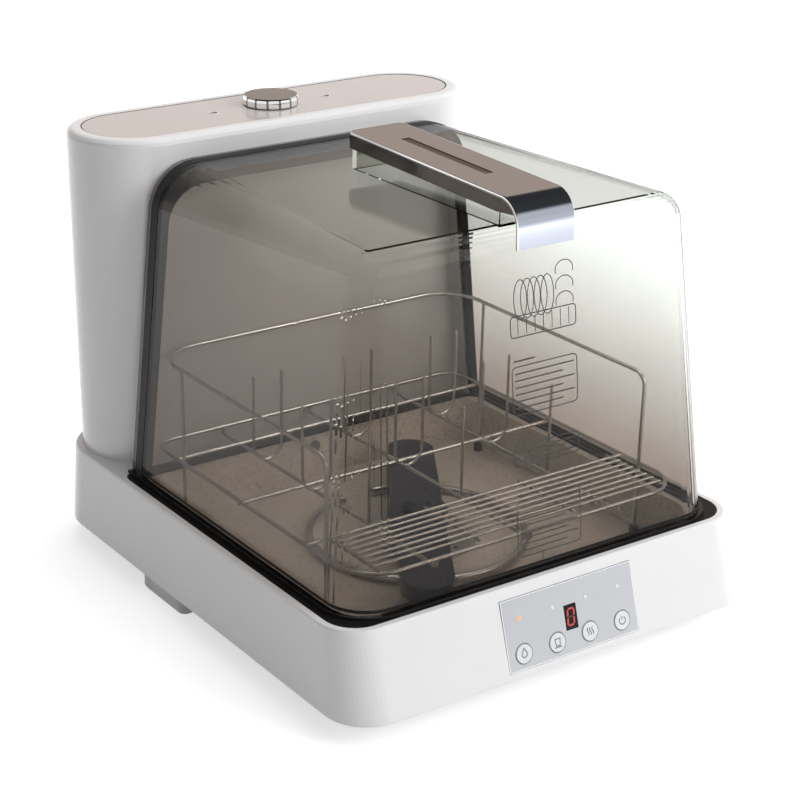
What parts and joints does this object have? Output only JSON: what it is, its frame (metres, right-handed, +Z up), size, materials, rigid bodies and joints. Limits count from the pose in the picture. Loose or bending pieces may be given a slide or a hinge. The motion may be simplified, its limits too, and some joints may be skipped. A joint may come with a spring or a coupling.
{
  "type": "countertop dishwasher",
  "caption": "Countertop dishwasher with a flared low base, a rear tank tower and a clear smoked hood that swings up over a wire dish rack and spray arm.",
  "frame": {"origin": "floor level under the middle of the base", "axes": "+X to the right of someone facing the front, +Y from the front panel to the tower at the rear, +Z up"},
  "size_m": [0.41, 0.49, 0.389],
  "materials": {
    "white_gloss": "glossy",
    "base_grey": "satin",
    "foot_grey": "satin",
    "foot_rubber": "matte",
    "tub_white": "satin",
    "seal_black": "satin",
    "steel": "bright",
    "inner_grey": "satin",
    "arm_navy": "satin",
    "panel_taupe": "satin",
    "tank_clear": "clear",
    "chrome": "mirror",
    "float_orange": "satin",
    "wall_grey": "satin",
    "hood_smoke": "clear",
    "strap_mirror": "mirror",
    "inlay_dark": "matte",
    "panel_blue_grey": "satin",
    "window_black": "glossy",
    "display_red": "glowing",
    "board_green": "matte",
    "button_grey": "satin",
    "light_orange": "glowing",
    "light_clear": "satin",
    "hose_grey": "matte",
    "inlet_black": "matte"
  },
  "bodies": {
    "base": {"base_shell": "white_gloss", "base_plate": "base_grey", "base_screws": "steel", "side_feet": "foot_grey", "front_feet": "foot_rubber", "rear_feet": "foot_rubber", "wash_tub": "tub_white", "tub_seal": "seal_black", "sump": "inner_grey", "filter_plate": "steel", "heater": "steel", "spray_pivot": "inner_grey", "tower_shell": "white_gloss", "tower_cap": "white_gloss", "top_panel": "panel_taupe", "water_tank": "tank_clear", "fill_neck": "tub_white", "float_stem": "tub_white", "back_frame": "wall_grey", "hinge_bracket": "steel", "hinge_rod": "steel", "control_panel": "panel_blue_grey", "display_window": "window_black", "display_module": "display_red", "control_board": "board_green", "indicator_1": "light_orange", "indicator_2": "light_clear", "indicator_3": "light_clear", "indicator_4": "light_clear", "wash_pump": "inner_grey", "wash_hose": "hose_grey", "drain_pump": "inner_grey", "drain_hose": "hose_grey", "drain_spigot": "base_grey", "power_inlet": "inlet_black", "tank_hose": "hose_grey", "spray_hose": "hose_grey"},
    "hood": {"hood": "hood_smoke", "hood_gasket": "seal_black", "hood_knuckles": "steel", "handle": "strap_mirror", "handle_inlay": "inlay_dark"},
    "rack": {"rack_frame": "steel", "rack_grid": "steel", "rack_prongs": "steel", "cutlery_shelf": "steel", "rack_feet": "foot_rubber"},
    "spray_arm": {"spray_arm": "arm_navy", "arm_cap": "arm_navy"},
    "strainer": {"filter_cup": "steel"},
    "plug": {"cap_plug": "foot_rubber"},
    "knob": {"fill_knob": "chrome"},
    "tank_float": {"tank_float": "float_orange"},
    "wash_impeller": {"wash_impeller": "tub_white"},
    "drain_impeller": {"drain_impeller": "tub_white"},
    "button_1": {"button_1": "button_grey"},
    "button_2": {"button_2": "button_grey"},
    "button_3": {"button_3": "button_grey"},
    "button_4": {"button_4": "button_grey"}
  },
  "joints": [
    {"name": "hood_hinge", "type": "hinge", "parent": "base", "child": "hood", "pos_m": [0, 0.12, 0.3505], "axis": [-1, 0, 0], "range_deg": [0, 75]},
    {"name": "rack_lift", "type": "slide", "parent": "base", "child": "rack", "axis": [0, 0, 1], "range_m": [0, 0.055]},
    {"name": "spray_arm_spin", "type": "hinge", "parent": "base", "child": "spray_arm", "pos_m": [0, -0.042, 0.065], "axis": [0, 0, 1], "continuous": true},
    {"name": "strainer_lift", "type": "slide", "parent": "base", "child": "strainer", "axis": [0, 0, 1], "range_m": [0, 0.03]},
    {"name": "plug_lift", "type": "slide", "parent": "base", "child": "plug", "axis": [0, 0, 1], "range_m": [0, 0.025]},
    {"name": "knob_turn", "type": "hinge", "parent": "plug", "child": "knob", "pos_m": [0, 0.1885, 0.378], "axis": [0, 0, 1], "range_deg": [0, 90]},
    {"name": "float_rise", "type": "slide", "parent": "base", "child": "tank_float", "axis": [0, 0, 1], "range_m": [0, 0.04]},
    {"name": "wash_impeller_spin", "type": "hinge", "parent": "base", "child": "wash_impeller", "pos_m": [0.06, 0.1825, 0.0555], "axis": [1, 0, 0], "continuous": true},
    {"name": "drain_impeller_spin", "type": "hinge", "parent": "base", "child": "drain_impeller", "pos_m": [-0.0925, 0.1825, 0.05], "axis": [1, 0, 0], "continuous": true},
    {"name": "button_1_press", "type": "slide", "parent": "base", "child": "button_1", "axis": [0, 0.954, -0.2998], "range_m": [0, 0.0008], "stiffness_N_per_m": 400},
    {"name": "button_2_press", "type": "slide", "parent": "base", "child": "button_2", "axis": [0, 0.954, -0.2998], "range_m": [0, 0.0008], "stiffness_N_per_m": 400},
    {"name": "button_3_press", "type": "slide", "parent": "base", "child": "button_3", "axis": [0, 0.954, -0.2998], "range_m": [0, 0.0008], "stiffness_N_per_m": 400},
    {"name": "button_4_press", "type": "slide", "parent": "base", "child": "button_4", "axis": [0, 0.954, -0.2998], "range_m": [0, 0.0008], "stiffness_N_per_m": 400}
  ]
}
